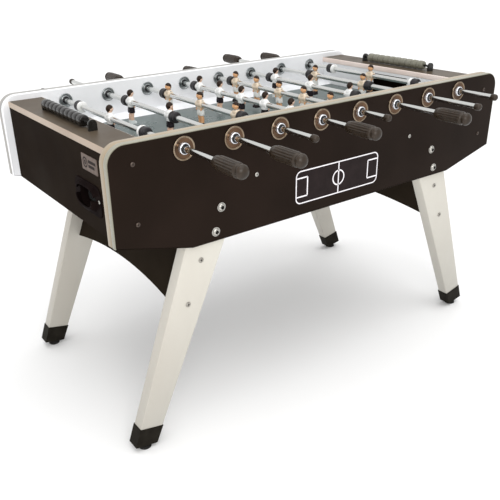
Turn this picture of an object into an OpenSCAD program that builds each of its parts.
// Foosball table: cabinet on raked legs, eight sliding and turning rods with figures.
// Units are millimetres. +Z is up, X runs from goal to goal, Y runs along the rods.

/* [Cabinet] */
// Overall length of the side panels
cabinet_length = 1460; // [1300:10:1500]
// Width over the outer faces of the side panels
cabinet_width = 770; // [700:5:800]
// Height of the rim above the floor
rim_z = 900; // [850:5:950]
// Thickness of the black outer side board
outer_board = 18; // [15:1:22]
// Thickness of the white inner side board
inner_board = 22; // [18:1:25]
// Depth of the side panel at its middle
side_depth = 306; // [260:2:340]
// Depth of the side panel at its ends
end_depth = 251; // [200:1:300]
// Half length of the level stretch of the bottom edge
flat_half = 514; // [450:2:600]
// Radius of the top corners of the side panels
corner_r = 48; // [20:1:60]
// Thickness of the edge band
band_t = 2; // [1:0.5:3]
// Setback of the end panels behind the side panel ends
end_setback = 22; // [10:1:40]
// Thickness of end panels, shelves and goal walls
board_t = 18; // [15:1:22]
// Drop of the end shelves below the rim
shelf_drop = 17; // [5:1:30]

/* [Playfield] */
// Half length of the pitch between the goal walls
pitch_half = 602; // [560:2:640]
// Drop of the pitch below the rim
pitch_drop = 118; // [100:1:130]
// Thickness of the playfield board
pitch_t = 14; // [8:1:20]
// Width of the side ramps
ramp_w = 50; // [20:5:60]
// Height of the side ramps at the wall
ramp_h = 12; // [5:1:16]
// Half width of the goal mouth
goal_half = 105; // [90:1:120]
// Height of the goal mouth
goal_h = 73; // [60:1:80]

/* [Rods] */
// Distance between neighbouring rods
rod_pitch = 150; // [140:1:160]
// Drop of the rod axes below the rim
rod_drop = 38; // [30:1:50]
// Radius of the rods
rod_r = 8; // [6:0.5:9]
// Wall of the rods, which are tubes
rod_wall = 2.5; // [1.5:0.5:4]
// Running clearance of the rods in their bushes
rod_gap = 0.05; // [0.02:0.01:0.1]
// Length of a handle
handle_len = 112; // [110:1:140]
// Largest radius of a handle
handle_r = 18.5; // [17:0.5:20]
// Length of a rubber bumper
bumper_len = 24; // [15:1:30]
// Outer radius of a rubber bumper
bumper_r = 16.5; // [12:0.5:20]
// Radius of the stop collars on the goalkeeper rods
collar_r = 17; // [14:0.5:22]
// Radius of the bearing flanges
flange_r = 31; // [26:1:36]
// Outer radius of the bearing bushes
bush_r = 12; // [10:0.5:14]

/* [Figures] */
// Half width of a figure along the rod
man_half = 16; // [13:0.5:17]
// Height of the top of the head above the rod axis
head_top = 39; // [36:1:42]
// Depth of the sole below the rod axis
sole_drop = 70; // [64:1:74]
// Radius of the head
head_r = 11; // [9:0.5:12]

/* [Legs] */
// Thickness of a leg across the table
leg_t = 40; // [30:1:50]
// Distance of the leg tops below the rim
leg_top_drop = 188; // [170:1:220]
// Thickness of the arched cross panels
arch_t = 18; // [15:1:22]
// Radius of the arch
arch_r = 1800; // [1200:50:2400]
// Distance of the top of the arch below the rim
arch_drop = 473; // [440:1:500]
// Wall of the leg shoes
shoe_wall = 1.5; // [1:0.5:4]
// Radius of the levelling feet
foot_r = 19; // [15:0.5:24]

/* [Score counters] */
// Distance of the score counters from the middle of the table
score_x = 657; // [640:1:670]
// Half distance between the posts of a score counter
score_half = 160; // [155:1:170]
// Height of the counter rods above the shelf
score_h = 16.5; // [16.5:0.5:25]
// Radius of a bead
bead_r = 15.5; // [10:0.5:16]
// Length of a bead
bead_len = 27; // [20:0.1:28.6]

/* [Hidden] */
$fn = 48;
half_l = cabinet_length / 2;
half_w = cabinet_width / 2;
frame_y = -39;
inner_y = half_w - outer_board - inner_board;
joint_y = half_w - outer_board;
side_z = rim_z - side_depth;
end_z = rim_z - end_depth;
slope = (end_z - side_z) / (half_l - flat_half);
end_x = half_l - end_setback;
shelf_z = rim_z - shelf_drop;
pitch_z = rim_z - pitch_drop;
rod_z = rim_z - rod_drop;
leg_y = joint_y - leg_t;
leg_top_z = rim_z - leg_top_drop;
stop_y = inner_y - 4;
cup_y = 207;
cup_z = rim_z - 170;
cup_flange = 3;
flange_t = 3.5;
ring_r = 23;
button_r = 11;
cap_r = 10.2;
cap_len = 20;
grip_bore = 96;
collar_len = 10;
keeper_stop = 200;
play = 0.3;
post_r = 12;
right_gap = 24;
men_of = [1, 2, 3, 5, 5, 3, 2, 1];
spacing_of = [0, 244, 191, 123, 123, 191, 244, 0];
grip_of = [544, 605, 542, 485, 485, 542, 605, 544];
tail_of = [535, 599, 539, 488, 488, 539, 599, 535];
rest_of = [19, 59, 5, -5, -14, 2, 19, 4];
side_of = [-1, -1, 1, -1, 1, -1, 1, 1];
bolts = [[421, 215], [441, 280]];
leg_screws = [[481, 358], [529, 478]];
panel_screws = [[304, 150], [665, 51], [665, 202]];

// Inner and outer edge of a leg at a depth below the rim
function leg_in(d) = 416 + 0.455 * (d - 352);
function leg_out(d) = 554 + 0.354 * (d - 391);
function leg_mid(d) = (leg_in(d) + leg_out(d)) / 2;
function chamfer_z(x) = side_z + slope * max(0, x - flat_half);
function rod_x(i) = (i - 3.5) * rod_pitch;

// Everything is drawn about the cabinet's own middle and moved by frame_y
module placed() {
    translate([0, frame_y, 0]) children();
}

module both_ends() {
    children();
    rotate([0, 0, 180]) children();
}

module four_corners() {
    for (sx = [0, 1]) {
        for (sy = [0, 1]) {
            mirror([sx, 0, 0]) mirror([0, sy, 0]) children();
        }
    }
}

// A flat outline in X and Z, given thickness from y0 to y1
module slab(y0, y1) {
    translate([0, y1, 0]) rotate([90, 0, 0]) linear_extrude(y1 - y0) children();
}

module side_outline(inset) {
    x = half_l - inset;
    top = rim_z - inset;
    r = corner_r - inset;
    polygon([[-x, chamfer_z(x)], [-flat_half, side_z], [flat_half, side_z],
        [x, chamfer_z(x)], [x, top - r], [x - r, top - r], [x - r, top],
        [-x + r, top], [-x + r, top - r], [-x, top - r]]);
    for (s = [-1, 1]) {
        translate([s * (x - r), top - r]) circle(r);
    }
}

module leg_outline() {
    polygon([[leg_in(leg_top_drop), leg_top_z], [leg_out(leg_top_drop), leg_top_z],
        [leg_out(870), rim_z - 870], [leg_in(880), rim_z - 880]]);
}

module rod_bores(r) {
    for (i = [0:7]) {
        translate([rod_x(i), 0, rod_z]) rotate([90, 0, 0]) {
            cylinder(h = 2 * half_w + 40, r = r, center = true);
        }
    }
}

module bolt_bores(places, r) {
    for (p = places) {
        for (s = [-1, 1]) {
            translate([s * p[0], 0, rim_z - p[1]]) rotate([90, 0, 0]) {
                cylinder(h = 2 * half_w + 40, r = r, center = true);
            }
        }
    }
}

// Boards on the near side; the far side is the same turned round
module outer_side() {
    difference() {
        slab(-half_w, -joint_y) side_outline(band_t);
        rod_bores(bush_r);
        bolt_bores(bolts, 4);
        bolt_bores(panel_screws, 2.5);
    }
}

module inner_side() {
    difference() {
        slab(-joint_y, -inner_y) side_outline(band_t);
        for (s = [0, 1]) {
            mirror([s, 0, 0]) slab(-joint_y - 1, -inner_y + 1) leg_outline();
        }
        rod_bores(bush_r);
        bolt_bores(panel_screws, 2.5);
    }
}

module front_side_board() {
    color([0.05, 0.045, 0.04]) placed() outer_side();
}

module back_side_board() {
    color([0.05, 0.045, 0.04]) placed() rotate([0, 0, 180]) outer_side();
}

module front_inner_board() {
    color([0.93, 0.93, 0.92]) placed() inner_side();
}

module back_inner_board() {
    color([0.93, 0.93, 0.92]) placed() rotate([0, 0, 180]) inner_side();
}

module shelf_strip(x) {
    translate([x, -inner_y, shelf_z - board_t]) cube([band_t, 2 * inner_y, board_t]);
}

module edge_bands() {
    color([0.8, 0.79, 0.73]) placed() {
        both_ends() {
            difference() {
                slab(-half_w, -inner_y) side_outline(0);
                slab(-half_w - 1, -inner_y + 1) side_outline(band_t);
            }
            shelf_strip(end_x - 1);
            shelf_strip(pitch_half - band_t);
        }
    }
}

// End panel with the ball return hole, drawn for the right end
module end_board() {
    difference() {
        slab(-inner_y, inner_y) polygon([[end_x - board_t, chamfer_z(end_x - board_t)],
            [end_x, chamfer_z(end_x)], [end_x, shelf_z - board_t],
            [end_x - board_t, shelf_z - board_t]]);
        translate([end_x - board_t - 1, cup_y - 50, cup_z - 32]) {
            cube([board_t + 2, 100, 64]);
        }
        for (s = [-1, 1]) {
            translate([end_x - 11, cup_y, 0]) cup_screw(s) rotate([0, 90, 0]) {
                cylinder(h = 12, r = 2);
            }
        }
    }
}

module left_end_panel() {
    color([0.05, 0.045, 0.04]) placed() rotate([0, 0, 180]) end_board();
}

module right_end_panel() {
    color([0.05, 0.045, 0.04]) placed() end_board();
}

module end_shelves() {
    color([0.43, 0.4, 0.36]) placed() both_ends() {
        difference() {
            translate([pitch_half, -inner_y, shelf_z - board_t]) {
                cube([end_x - 1 - pitch_half, 2 * inner_y, board_t]);
            }
            for (s = [-1, 1]) {
                translate([score_x, s * score_half, shelf_z - 10]) cylinder(h = 11, r = 3);
            }
        }
    }
}

module playfield() {
    color([0.36, 0.4, 0.4]) placed() {
        translate([-pitch_half - board_t, -inner_y, pitch_z - pitch_t]) {
            cube([2 * (pitch_half + board_t), 2 * inner_y, pitch_t]);
        }
    }
}

module side_ramps() {
    color([0.93, 0.93, 0.92]) placed() both_ends() {
        translate([-pitch_half, -inner_y, pitch_z]) rotate([90, 0, 90]) {
            linear_extrude(2 * pitch_half) polygon([[0, 0], [ramp_w, 0], [0, ramp_h]]);
        }
    }
}

module goal_walls() {
    color([0.93, 0.93, 0.92]) placed() both_ends() {
        difference() {
            translate([pitch_half, -inner_y, pitch_z]) {
                cube([board_t, 2 * inner_y, shelf_z - board_t - pitch_z]);
            }
            translate([pitch_half - 1, -goal_half, pitch_z - 1]) {
                cube([board_t + 2, 2 * goal_half, goal_h + 1]);
            }
        }
    }
}

// Sloping trough behind a goal, drawn for the right end
module trough() {
    x0 = pitch_half + board_t;
    x1 = end_x - board_t;
    low = cup_z - 32;
    translate([x0, 0, 0]) rotate([90, 0, 90]) linear_extrude(x1 - x0) {
        polygon([[-140, low + 34], [-134, low + 34], [-134, pitch_z + 40], [-140, pitch_z + 40]]);
        polygon([[-140, low + 34], [-134, low + 34], [265, low + 6], [265, low],
            [cup_y - 50, low]]);
        polygon([[259, low], [265, low], [265, pitch_z + 40], [259, pitch_z + 40]]);
    }
    translate([x0 - 6, -140, low]) cube([6, 405, pitch_z - pitch_t - low]);
}

module goal_boxes() {
    color([0.07, 0.07, 0.07]) placed() both_ends() trough();
}

module bottom_boards() {
    color([0.08, 0.075, 0.07]) placed() difference() {
        slab(-inner_y, inner_y) {
            x = end_x - board_t;
            polygon([[-x, chamfer_z(x)], [-flat_half, side_z], [flat_half, side_z],
                [x, chamfer_z(x)], [x, chamfer_z(x) + 12], [flat_half, side_z + 12],
                [-flat_half, side_z + 12], [-x, chamfer_z(x) + 12]]);
        }
        four_corners() slab(-joint_y, -leg_y) leg_outline();
    }
}

// Places a screw of a ball cup: s is 1 for the one nearer the table's corner
module cup_screw(s) {
    translate([0, s * 70, cup_z + (s > 0 ? 5 : -22)]) children();
}

// Moulded scoop with a screwed flange, drawn for the right end
module cup() {
    translate([end_x, cup_y, cup_z]) {
        difference() {
            translate([0, -78, -42]) cube([cup_flange, 156, 84]);
            translate([-1, -46, -28]) cube([5, 92, 56]);
            for (s = [-1, 1]) {
                translate([-1, 0, -cup_z]) cup_screw(s) rotate([0, 90, 0]) {
                    cylinder(h = 5, r = 2);
                }
            }
        }
        translate([-board_t, -50, -32]) cube([board_t, 100, 4]);
        translate([-board_t, -50, 28]) cube([board_t, 100, 4]);
        for (s = [-1, 1]) {
            translate([-board_t, s * 48 - 2, -28]) cube([board_t, 4, 56]);
        }
        translate([0, 50, 0]) rotate([90, 0, 0]) linear_extrude(100) {
            polygon([[3, -32], [17, -24], [19, -8], [15, -8], [13, -21], [3, -27]]);
        }
        for (s = [-1, 1]) {
            translate([3, s * 48 - 2, -30]) rotate([90, 0, 0]) translate([0, 0, -4]) {
                linear_extrude(4) polygon([[0, 0], [12, 6], [14, 22], [0, 46]]);
            }
        }
    }
}

module ball_cups() {
    color([0.06, 0.06, 0.06]) placed() both_ends() cup();
}

module front_left_leg() {
    color([0.85, 0.84, 0.8]) placed() mirror([1, 0, 0]) leg();
}

module front_right_leg() {
    color([0.85, 0.84, 0.8]) placed() leg();
}

module back_left_leg() {
    color([0.85, 0.84, 0.8]) placed() rotate([0, 0, 180]) leg();
}

module back_right_leg() {
    color([0.85, 0.84, 0.8]) placed() rotate([0, 0, 180]) mirror([1, 0, 0]) leg();
}

// Leg at the near right corner
module leg() {
    difference() {
        slab(-joint_y, -leg_y) leg_outline();
        bolt_bores(bolts, 4);
        bolt_bores(leg_screws, 3);
    }
}

module leg_shoes() {
    w = shoe_wall;
    color([0.05, 0.05, 0.05]) placed() four_corners() difference() {
        slab(-joint_y - w, -leg_y + w) {
            polygon([[leg_out(822) + w, rim_z - 822], [leg_out(878) + w, rim_z - 878],
                [leg_in(890) - w, rim_z - 890], [leg_in(838) - w, rim_z - 838]]);
        }
        slab(-joint_y, -leg_y) leg_outline();
        translate([690, -leg_y - leg_t / 2, 0]) cylinder(h = 40, r = 5);
    }
}

module levelling_feet() {
    color([0.05, 0.05, 0.05]) placed() four_corners() {
        translate([690, -leg_y - leg_t / 2, 0]) rotate_extrude() {
            polygon([[0, 0], [foot_r - 1, 0], [foot_r, 1], [foot_r, 5], [foot_r - 3, 8],
                [14, 9], [14, 12], [5, 12], [5, 18], [0, 18]]);
        }
    }
}

// Raked panel between the two right legs, with an arched lower edge
module arch() {
    top = rim_z - side_depth;
    dx = arch_t / 2 / cos(atan(0.4045));
    difference() {
        slab(-leg_y, leg_y) {
            polygon([[leg_mid(side_depth) - dx, top], [leg_mid(side_depth) + dx, top],
                [leg_mid(520) + dx, rim_z - 520], [leg_mid(520) - dx, rim_z - 520]]);
        }
        translate([300, 0, rim_z - arch_drop - arch_r]) rotate([0, 90, 0]) {
            cylinder(h = 400, r = arch_r, $fn = 360);
        }
        bolt_bores(leg_screws, 3);
    }
}

module arch_panels() {
    color([0.06, 0.055, 0.05]) placed() both_ends() arch();
}

// Button head bolt through the near side panel and a leg, its nut inside
module leg_bolt() {
    depth = leg_t + outer_board;
    rotate([90, 0, 0]) {
        difference() {
            rotate_extrude() {
                polygon([[0, 0], [button_r, 0], [button_r, 1.5], [button_r - 1.5, 4],
                    [button_r - 5, 6], [0, 6]]);
            }
            translate([0, 0, 3]) cylinder(h = 4, r = 4, $fn = 6);
        }
        translate([0, 0, -depth]) cylinder(h = depth, r = 4);
        translate([0, 0, -depth - 8]) cylinder(h = 8, r = 8, $fn = 6);
    }
}

module wood_screw(head, shank, length) {
    rotate([90, 0, 0]) {
        translate([0, 0, -length]) cylinder(h = length, r = shank);
        cylinder(h = 2.5, r1 = head, r2 = head * 0.6);
    }
}

module fasteners() {
    color([0.75, 0.75, 0.76]) placed() {
        four_corners() {
            for (p = bolts) {
                translate([p[0], -half_w, rim_z - p[1]]) leg_bolt();
            }
            for (p = leg_screws) {
                translate([p[0], -joint_y, rim_z - p[1]]) wood_screw(6, 3, leg_t + 30);
            }
            for (p = panel_screws) {
                translate([p[0], -half_w, rim_z - p[1]]) wood_screw(6, 2.5, 38);
            }
        }
        both_ends() {
            for (s = [-1, 1]) {
                translate([end_x + cup_flange, cup_y, 0]) cup_screw(s) rotate([0, 0, 90]) {
                    wood_screw(5, 2, 14);
                }
            }
        }
    }
}

// Metal ring on a wall face, its back on the plane y = 0 and its front towards -Y
module flange(outer) {
    rotate([90, 0, 0]) rotate_extrude() {
        polygon([[bush_r, 0], [outer, 0], [outer, 2], [outer - 1.5, flange_t],
            [outer - 5, flange_t], [outer - 7, 2], [bush_r, 2]]);
    }
}

module bearing_flanges() {
    color([0.8, 0.8, 0.8]) placed() {
        for (i = [0:7]) {
            translate([rod_x(i), 0, rod_z]) both_ends() {
                translate([0, -half_w, 0]) flange(flange_r);
                translate([0, inner_y, 0]) flange(ring_r);
            }
        }
    }
}

module bearing_bushes() {
    color([0.05, 0.05, 0.05]) placed() {
        for (i = [0:7]) {
            translate([rod_x(i), 0, rod_z]) both_ends() {
                translate([0, -half_w - 6, 0]) rotate([-90, 0, 0]) difference() {
                    cylinder(h = half_w + 6 - stop_y, r = bush_r);
                    translate([0, 0, -1]) cylinder(h = half_w, r = rod_r + rod_gap);
                }
            }
        }
    }
}

module score_posts() {
    color([0.06, 0.06, 0.06]) placed() both_ends() {
        for (s = [-1, 1]) {
            translate([score_x, s * score_half, shelf_z - 10]) cylinder(h = 10, r = 3);
            translate([score_x - post_r, s * score_half - 4, shelf_z]) {
                cube([2 * post_r, 8, score_h]);
            }
            translate([score_x, s * score_half + 4, shelf_z + score_h]) rotate([90, 0, 0]) {
                cylinder(h = 8, r = post_r);
            }
        }
        translate([score_x, score_half, shelf_z + score_h]) rotate([90, 0, 0]) {
            cylinder(h = 2 * score_half, r = 4);
        }
    }
}

// Ten touching ribbed beads, drawn for the right end with one end at y0
module beads(y0) {
    translate([score_x, y0, shelf_z + score_h]) rotate([-90, 0, 0]) rotate_extrude() {
        polygon(concat([[4.06, 0]],
            [for (k = [0:9]) each [[bead_r - 2, k * bead_len], [bead_r, k * bead_len + 3],
                [bead_r, (k + 1) * bead_len - 3], [bead_r - 2, (k + 1) * bead_len - 0.01]]],
            [[4.06, 10 * bead_len]]));
    }
}

module left_score_beads() {
    color([0.35, 0.34, 0.31]) placed() mirror([1, 0, 0]) beads(score_half - 4.5 - 10 * bead_len);
}

module right_score_beads() {
    color([0.35, 0.34, 0.31]) placed() beads(-score_half + 4.5 + right_gap);
}

module end_plate() {
    color([0.5, 0.48, 0.44]) placed() translate([-end_x - 1.5, -283, rim_z - 98]) {
        cube([1.5, 92, 42]);
    }
}

// Rods. The tube runs from inside the handle to inside the end cap.
module at_rod(i) {
    placed() translate([rod_x(i), rest_of[i], rod_z]) children();
}

// Turns -Y into the handle's side of the rod
module to_handle(i) {
    rotate([0, 0, side_of[i] < 0 ? 0 : 180]) children();
}

module tube(i) {
    color([0.85, 0.85, 0.86]) at_rod(i) to_handle(i) {
        translate([0, -grip_of[i] - grip_bore, 0]) rotate([-90, 0, 0]) difference() {
            cylinder(h = grip_of[i] + grip_bore + tail_of[i] - 4, r = rod_r);
            translate([0, 0, -1]) {
                cylinder(h = grip_of[i] + grip_bore + tail_of[i] - 2, r = rod_r - rod_wall);
            }
        }
    }
}

module handle(i) {
    r = handle_r;
    n = handle_len;
    color([0.09, 0.085, 0.08]) at_rod(i) to_handle(i) {
        translate([0, -grip_of[i], 0]) rotate([90, 0, 0]) rotate_extrude() {
            polygon([[rod_r, 0], [12.5, 0], [15, 2], [15.8, 6], [16, 10], [r - 0.7, 14],
                [r, 26], [r, n - 28], [r - 0.8, n - 24], [r - 3.6, n - 21], [r - 3.6, n - 17],
                [r - 1.5, n - 15], [r - 1.4, n - 11], [r - 4, n - 6], [r - 8, n - 2.5],
                [r - 13, n], [0, n], [0, grip_bore], [rod_r, grip_bore]]);
        }
        translate([0, tail_of[i] - cap_len, 0]) rotate([-90, 0, 0]) rotate_extrude() {
            polygon([[rod_r, 0], [cap_r - 1, 0], [cap_r, 2], [cap_r, cap_len - 6],
                [cap_r - 1.5, cap_len - 2.5], [cap_r - 6, cap_len], [0, cap_len],
                [0, cap_len - 4], [rod_r, cap_len - 4]]);
        }
    }
}

module bumper() {
    rotate([-90, 0, 0]) rotate_extrude() {
        polygon([[rod_r + rod_gap, 0], [bumper_r - 2, 0], [bumper_r, 2],
            [bumper_r, bumper_len - 2], [bumper_r - 2, bumper_len],
            [rod_r + rod_gap, bumper_len]]);
    }
}

// Distance from the middle of the rod to the inner face of a bumper
function bumper_at(i) = men_of[i] == 1 ? keeper_stop + play
    : (men_of[i] - 1) / 2 * spacing_of[i] + man_half + play;

module bumpers(i) {
    color([0.05, 0.05, 0.05]) at_rod(i) both_ends() {
        translate([0, bumper_at(i), 0]) bumper();
    }
}

// One figure on the rod axis, facing +X
module man() {
    w = man_half;
    difference() {
        union() {
            intersection() {
                slab(-w, w) polygon([[-10, 13], [-6, 17], [6, 17], [10, 13], [11, 5], [11, -5],
                    [9.5, -14], [9.5, -31], [6.5, -35], [6.5, -56], [13, -61],
                    [13, -sole_drop], [-9, -sole_drop], [-8.5, -58], [-7, -50], [-7, -35],
                    [-9.5, -31], [-9.5, -14], [-11, -5], [-11, 5]]);
                translate([-20, 0, 0]) rotate([90, 0, 90]) linear_extrude(40) {
                    polygon([[-9, 17], [9, 17], [w - 1, 12], [w, 6], [w, -8], [w - 3, -14],
                        [w - 3, -31], [w - 5, -36], [w - 5, -56], [w - 5, -sole_drop],
                        [5 - w, -sole_drop], [5 - w, -56], [5 - w, -36], [3 - w, -31],
                        [3 - w, -14], [-w, -8], [-w, 6], [1 - w, 12]]);
                }
            }
            translate([0, 0, 14]) cylinder(h = 8, r = 5.5);
            translate([0, 0, head_top - head_r]) sphere(head_r);
        }
        rotate([90, 0, 0]) cylinder(h = 60, r = rod_r, center = true);
    }
}

module collar() {
    translate([0, keeper_stop - collar_len, 0]) rotate([-90, 0, 0]) difference() {
        cylinder(h = collar_len, r = collar_r);
        translate([0, 0, -1]) cylinder(h = collar_len + 2, r = rod_r);
    }
}

module men(i) {
    color([0.86, 0.78, 0.68]) at_rod(i) rotate([0, 0, side_of[i] < 0 ? 0 : 180]) {
        for (k = [0:men_of[i] - 1]) {
            translate([0, (k - (men_of[i] - 1) / 2) * spacing_of[i], 0]) man();
        }
        if (men_of[i] == 1) {
            both_ends() collar();
        }
    }
}

module rod_1_tube() { tube(0); }
module rod_1_men() { men(0); }
module rod_1_handle() { handle(0); }
module rod_1_bumpers() { bumpers(0); }
module rod_2_tube() { tube(1); }
module rod_2_men() { men(1); }
module rod_2_handle() { handle(1); }
module rod_2_bumpers() { bumpers(1); }
module rod_3_tube() { tube(2); }
module rod_3_men() { men(2); }
module rod_3_handle() { handle(2); }
module rod_3_bumpers() { bumpers(2); }
module rod_4_tube() { tube(3); }
module rod_4_men() { men(3); }
module rod_4_handle() { handle(3); }
module rod_4_bumpers() { bumpers(3); }
module rod_5_tube() { tube(4); }
module rod_5_men() { men(4); }
module rod_5_handle() { handle(4); }
module rod_5_bumpers() { bumpers(4); }
module rod_6_tube() { tube(5); }
module rod_6_men() { men(5); }
module rod_6_handle() { handle(5); }
module rod_6_bumpers() { bumpers(5); }
module rod_7_tube() { tube(6); }
module rod_7_men() { men(6); }
module rod_7_handle() { handle(6); }
module rod_7_bumpers() { bumpers(6); }
module rod_8_tube() { tube(7); }
module rod_8_men() { men(7); }
module rod_8_handle() { handle(7); }
module rod_8_bumpers() { bumpers(7); }

front_side_board();
back_side_board();
front_inner_board();
back_inner_board();
edge_bands();
left_end_panel();
right_end_panel();
end_shelves();
playfield();
side_ramps();
goal_walls();
goal_boxes();
bottom_boards();
ball_cups();
front_left_leg();
front_right_leg();
back_left_leg();
back_right_leg();
leg_shoes();
levelling_feet();
arch_panels();
fasteners();
bearing_flanges();
bearing_bushes();
score_posts();
left_score_beads();
right_score_beads();
end_plate();
rod_1_tube();
rod_1_men();
rod_1_handle();
rod_1_bumpers();
rod_2_tube();
rod_2_men();
rod_2_handle();
rod_2_bumpers();
rod_3_tube();
rod_3_men();
rod_3_handle();
rod_3_bumpers();
rod_4_tube();
rod_4_men();
rod_4_handle();
rod_4_bumpers();
rod_5_tube();
rod_5_men();
rod_5_handle();
rod_5_bumpers();
rod_6_tube();
rod_6_men();
rod_6_handle();
rod_6_bumpers();
rod_7_tube();
rod_7_men();
rod_7_handle();
rod_7_bumpers();
rod_8_tube();
rod_8_men();
rod_8_handle();
rod_8_bumpers();
